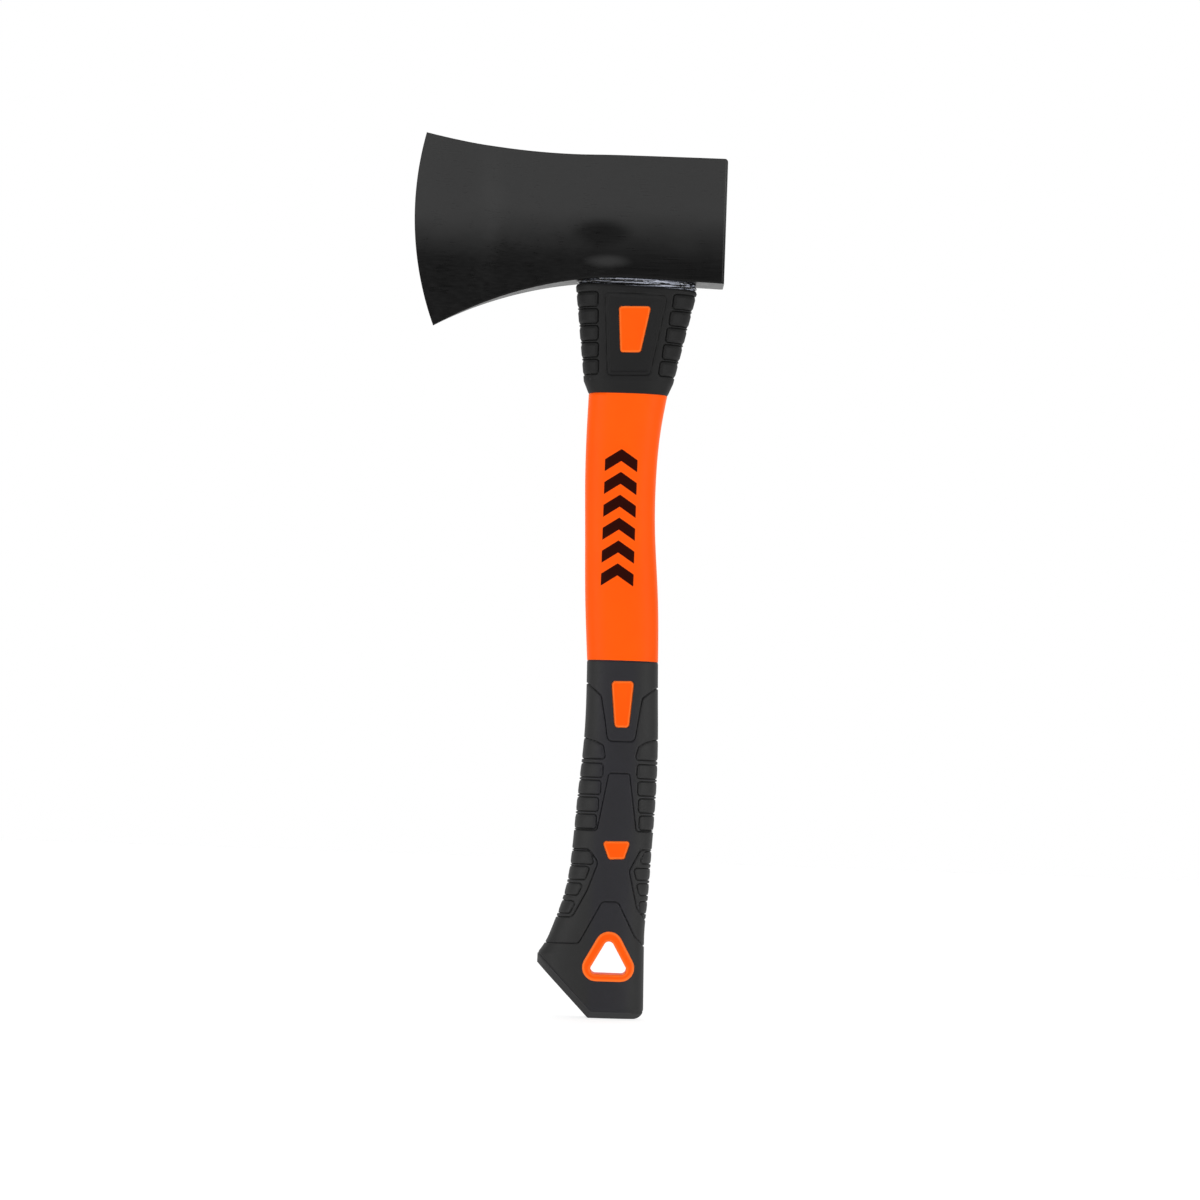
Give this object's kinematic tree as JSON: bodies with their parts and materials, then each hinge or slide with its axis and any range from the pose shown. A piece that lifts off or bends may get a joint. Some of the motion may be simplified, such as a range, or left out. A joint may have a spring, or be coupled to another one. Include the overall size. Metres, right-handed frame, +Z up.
{
  "type": "hand axe",
  "caption": "Short single-bit axe: black forged head with a flat poll on a fibreglass-core handle with an orange jacket, rubber collar, rubber grip and a lanyard hole in the butt.",
  "frame": {"origin": "middle of the flat butt face at the bottom of the handle", "axes": "+Z up the handle to the head, -X towards the cutting edge, +X towards the poll, Y across the thickness"},
  "size_m": [0.1354, 0.0256, 0.3815],
  "materials": {
    "head_lacquer": "satin black lacquer over forged steel",
    "epoxy": "cast dark epoxy",
    "sealant": "glossy dark sealant",
    "fibreglass": "sawn fibreglass rod",
    "orange_plastic": "satin moulded plastic",
    "black_rubber": "fine matt moulded rubber"
  },
  "bodies": {
    "root": {"axe_head": "head_lacquer", "eye_adhesive": "epoxy", "seal_bead": "sealant", "handle_core": "fibreglass", "handle_jacket": "orange_plastic", "overstrike_collar": "black_rubber", "grip_sleeve": "black_rubber"}
  },
  "joints": []
}
